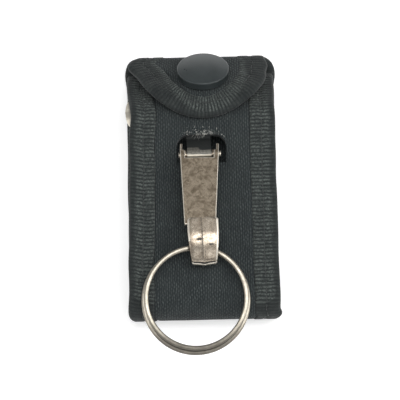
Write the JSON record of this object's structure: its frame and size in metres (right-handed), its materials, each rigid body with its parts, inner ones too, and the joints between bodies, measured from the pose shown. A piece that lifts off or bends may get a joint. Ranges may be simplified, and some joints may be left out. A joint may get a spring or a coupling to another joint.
{
  "type": "belt key holder",
  "caption": "Folded nylon belt loop with ribbed binding and a snap flap, holding a sprung metal gate hook and a split key ring.",
  "frame": {"origin": "centre of the back panel's outer face, which lies on the table", "axes": "+X to the right, +Y towards the flap, +Z out of the front panel"},
  "size_m": [0.044, 0.0933, 0.0221],
  "materials": {
    "cloth": "fine woven nylon, matte",
    "binding_tape": "ribbed tape, matte",
    "board": "plain black stiffener board",
    "black_cap": "satin black",
    "antique_nickel": "mottled antique nickel",
    "bright_steel": "plain bright steel"
  },
  "bodies": {
    "holder": {"strap_outer": "cloth", "strap_core": "board", "strap_lining": "cloth", "binding_left": "binding_tape", "binding_right": "binding_tape", "snap_stud": "bright_steel", "snap_post": "bright_steel", "hanger_plate": "antique_nickel", "hanger_rivet_left": "bright_steel", "hanger_rivet_right": "bright_steel"},
    "flap": {"flap_outer": "cloth", "flap_core": "board", "flap_lining": "cloth", "flap_binding": "binding_tape", "snap_cap": "black_cap", "snap_socket": "bright_steel"},
    "clip": {"hook": "antique_nickel", "pivot_pin": "bright_steel", "gate_spring": "bright_steel"},
    "lever": {"lever_gate": "antique_nickel"},
    "ring": {"key_ring": "bright_steel"}
  },
  "joints": [
    {"name": "flap_open", "type": "hinge", "parent": "holder", "child": "flap", "pos_m": [0, 0.0405, 0.0042], "axis": [-1, 0, 0], "range_deg": [0, 120]},
    {"name": "clip_swing", "type": "hinge", "parent": "holder", "child": "clip", "pos_m": [-0.00065, 0.0064, 0.0171], "axis": [-0.9997, -0.0262, 0], "range_deg": [0, 90]},
    {"name": "lever_press", "type": "hinge", "parent": "clip", "child": "lever", "pos_m": [-0.00065, 0.0064, 0.0171], "axis": [0.9997, 0.0262, 0], "range_deg": [0, 9], "stiffness_Nm_per_rad": 0.02, "springref_deg": -22.92, "deforming": ["gate_spring"]},
    {"name": "ring_swing", "type": "hinge", "parent": "clip", "child": "ring", "pos_m": [0, -0.0227, 0.01725], "axis": [-1, 0, 0], "range_deg": [0, 120]}
  ]
}
